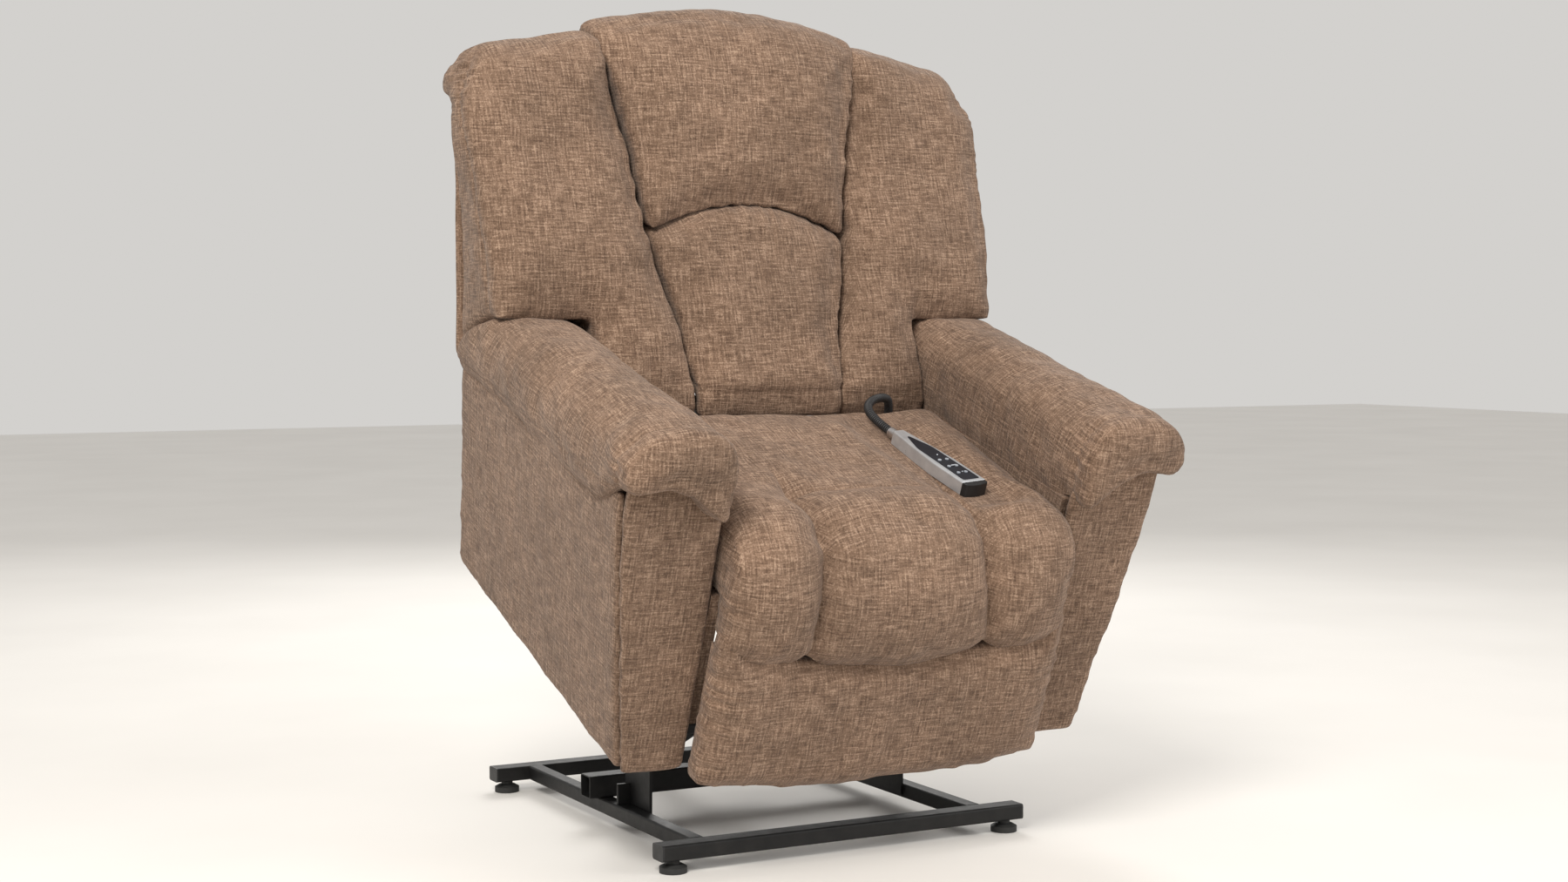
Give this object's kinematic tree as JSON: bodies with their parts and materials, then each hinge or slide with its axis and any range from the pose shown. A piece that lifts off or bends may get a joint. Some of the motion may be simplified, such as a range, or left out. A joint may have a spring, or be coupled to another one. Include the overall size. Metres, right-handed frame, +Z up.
{
  "type": "lift recliner chair",
  "caption": "Upholstered power lift recliner that tilts forward to help a sitter stand, with reclining back, raising footrest, padded arms and corded handset",
  "frame": {"origin": "middle of the footprint of the whole chair, on the floor, in the lifted pose", "axes": "+Z up; the chair faces -Y; +X is to the left of a sitter"},
  "size_m": [0.976, 0.9624, 1.3744],
  "materials": {
    "fabric": "woven tweed, heathered taupe",
    "black_steel": "satin black powder coat",
    "bright_steel": "zinc plated",
    "timber": "bare plywood and pine",
    "black_plastic": "moulded, fine texture",
    "foot_rubber": "moulded black",
    "tube_metal": "satin extruded",
    "handset_silver": "silver painted",
    "handset_panel": "dark blue-black film",
    "key_grey": "soft touch",
    "collar_metal": "bright turned ring",
    "cord_black": "curly flex"
  },
  "bodies": {
    "base": {"base_front_bar": "black_steel", "base_rear_bar": "black_steel", "base_side_rails": "black_steel", "base_cross_beam": "black_steel", "tube_end_caps": "black_plastic", "levelling_feet": "foot_rubber", "base_brackets": "black_steel", "base_pivot_pins": "bright_steel"},
    "lift_links": {"front_lift_links": "black_steel", "lift_torque_tube": "black_steel"},
    "rear_links": {"rear_lift_links": "black_steel"},
    "chair": {"lift_frame": "black_steel", "chair_pivot_pins": "bright_steel", "seat_side_boards": "timber", "seat_rails": "timber", "motor_carrier": "black_steel", "seat_springs": "bright_steel", "seat_cushion": "fabric", "rear_cover_panel": "fabric", "control_box": "black_plastic", "arm_frame_boards": "timber", "arm_side_panel_left": "fabric", "arm_side_panel_right": "fabric", "arm_front_panel_left": "fabric", "arm_front_panel_right": "fabric", "arm_pad_left": "fabric", "arm_pad_right": "fabric", "recline_hinge_plates": "black_steel", "handset_shell": "handset_silver", "handset_key_panel": "handset_panel", "handset_end_cap": "black_plastic", "handset_collar": "collar_metal", "handset_cord": "cord_black"},
    "back": {"back_frame": "black_steel", "outer_back_panel": "fabric", "back_wing_left": "fabric", "back_wing_right": "fabric", "lumbar_cushion": "fabric", "head_pillow": "fabric", "recline_arms": "black_steel"},
    "lift_motor": {"lift_actuator_motor": "black_plastic", "lift_actuator_tube": "tube_metal"},
    "lift_rod": {"lift_actuator_rod": "bright_steel"},
    "back_motor": {"back_actuator_motor": "black_plastic", "back_actuator_tube": "tube_metal"},
    "back_rod": {"back_actuator_rod": "bright_steel"},
    "footrest_motor": {"footrest_actuator_motor": "black_plastic", "footrest_actuator_tube": "tube_metal"},
    "footrest_rod": {"footrest_actuator_rod": "bright_steel"},
    "footrest_drive": {"footrest_drive_links": "black_steel"},
    "footrest_carry": {"footrest_carry_links": "black_steel"},
    "footrest_panel": {"footrest_board": "timber", "footrest_pad": "fabric", "footrest_brackets": "black_steel"},
    "key_1": {"key_1": "key_grey"},
    "key_2": {"key_2": "key_grey"},
    "key_3": {"key_3": "key_grey"},
    "key_4": {"key_4": "key_grey"},
    "key_5": {"key_5": "key_grey"},
    "key_6": {"key_6": "key_grey"}
  },
  "joints": [
    {"name": "lift", "type": "hinge", "parent": "base", "child": "lift_links", "pos_m": [0, 0.00521, 0.178], "axis": [1, 0, 0], "range_deg": [-61.8, 11.1]},
    {"name": "rear_link_swing", "type": "hinge", "parent": "base", "child": "rear_links", "pos_m": [0, 0.05421, 0.187], "axis": [1, 0, 0], "range_deg": [-57.51, 10.58]},
    {"name": "chair_tilt", "type": "hinge", "parent": "lift_links", "child": "chair", "pos_m": [0, 0.20947, 0.3806], "axis": [1, 0, 0], "range_deg": [-7.63, 41.1]},
    {"name": "lift_motor_swing", "type": "hinge", "parent": "base", "child": "lift_motor", "pos_m": [0, 0.31521, 0.127], "axis": [1, 0, 0], "range_deg": [-5.43, 1.22]},
    {"name": "lift_rod_swing", "type": "hinge", "parent": "lift_links", "child": "lift_rod", "pos_m": [0, -0.03056, 0.22617], "axis": [1, 0, 0], "range_deg": [-10.48, 56.97]},
    {"name": "recline", "type": "hinge", "parent": "chair", "child": "back", "pos_m": [0, 0.10994, 0.70169], "axis": [-1, 0, 0], "range_deg": [0, 30]},
    {"name": "back_motor_swing", "type": "hinge", "parent": "chair", "child": "back_motor", "pos_m": [0, -0.08154, 0.49491], "axis": [-1, 0, 0], "range_deg": [0, 6.02]},
    {"name": "back_rod_swing", "type": "hinge", "parent": "back", "child": "back_rod", "pos_m": [0, 0.22895, 0.63382], "axis": [-1, 0, 0], "range_deg": [-24.58, 0]},
    {"name": "footrest_raise", "type": "hinge", "parent": "chair", "child": "footrest_drive", "pos_m": [0, -0.29095, 0.37255], "axis": [-1, 0, 0], "range_deg": [0, 88]},
    {"name": "footrest_knee", "type": "hinge", "parent": "footrest_drive", "child": "footrest_carry", "pos_m": [0, -0.21595, 0.24264], "axis": [-1, 0, 0], "range_deg": [-130.3, 0]},
    {"name": "footrest_panel_turn", "type": "hinge", "parent": "footrest_carry", "child": "footrest_panel", "pos_m": [0, -0.32616, 0.35293], "axis": [-1, 0, 0], "range_deg": [0, 128.3]},
    {"name": "footrest_motor_swing", "type": "hinge", "parent": "chair", "child": "footrest_motor", "pos_m": [0, -0.10103, 0.49242], "axis": [-1, 0, 0], "range_deg": [0, 9.5]},
    {"name": "footrest_rod_swing", "type": "hinge", "parent": "footrest_drive", "child": "footrest_rod", "pos_m": [0, -0.25587, 0.33622], "axis": [-1, 0, 0], "range_deg": [-79.1, 0]},
    {"name": "key_1_press", "type": "slide", "parent": "chair", "child": "key_1", "axis": [0, 0.3746, -0.9272], "range_m": [0, 0.0008], "stiffness_N_per_m": 500},
    {"name": "key_2_press", "type": "slide", "parent": "chair", "child": "key_2", "axis": [0, 0.3746, -0.9272], "range_m": [0, 0.0008], "stiffness_N_per_m": 500},
    {"name": "key_3_press", "type": "slide", "parent": "chair", "child": "key_3", "axis": [0, 0.3746, -0.9272], "range_m": [0, 0.0008], "stiffness_N_per_m": 500},
    {"name": "key_4_press", "type": "slide", "parent": "chair", "child": "key_4", "axis": [0, 0.3746, -0.9272], "range_m": [0, 0.0008], "stiffness_N_per_m": 500},
    {"name": "key_5_press", "type": "slide", "parent": "chair", "child": "key_5", "axis": [0, 0.3746, -0.9272], "range_m": [0, 0.0008], "stiffness_N_per_m": 500},
    {"name": "key_6_press", "type": "slide", "parent": "chair", "child": "key_6", "axis": [0, 0.3746, -0.9272], "range_m": [0, 0.0008], "stiffness_N_per_m": 500}
  ],
  "couplings": [
    {"joint": "rear_link_swing", "follows": "lift", "ratio": 0.92579},
    {"joint": "chair_tilt", "follows": "lift", "ratio": -0.66012},
    {"joint": "lift_motor_swing", "follows": "lift", "ratio": 0.083088},
    {"joint": "lift_rod_swing", "follows": "lift", "ratio": -0.91691},
    {"joint": "back_motor_swing", "follows": "recline", "ratio": 0.1906},
    {"joint": "back_rod_swing", "follows": "recline", "ratio": -0.8094},
    {"joint": "footrest_knee", "follows": "footrest_raise", "ratio": -1.4773},
    {"joint": "footrest_panel_turn", "follows": "footrest_raise", "ratio": 1.4545},
    {"joint": "footrest_motor_swing", "follows": "footrest_raise", "ratio": 0.1045},
    {"joint": "footrest_rod_swing", "follows": "footrest_raise", "ratio": -0.8955}
  ]
}
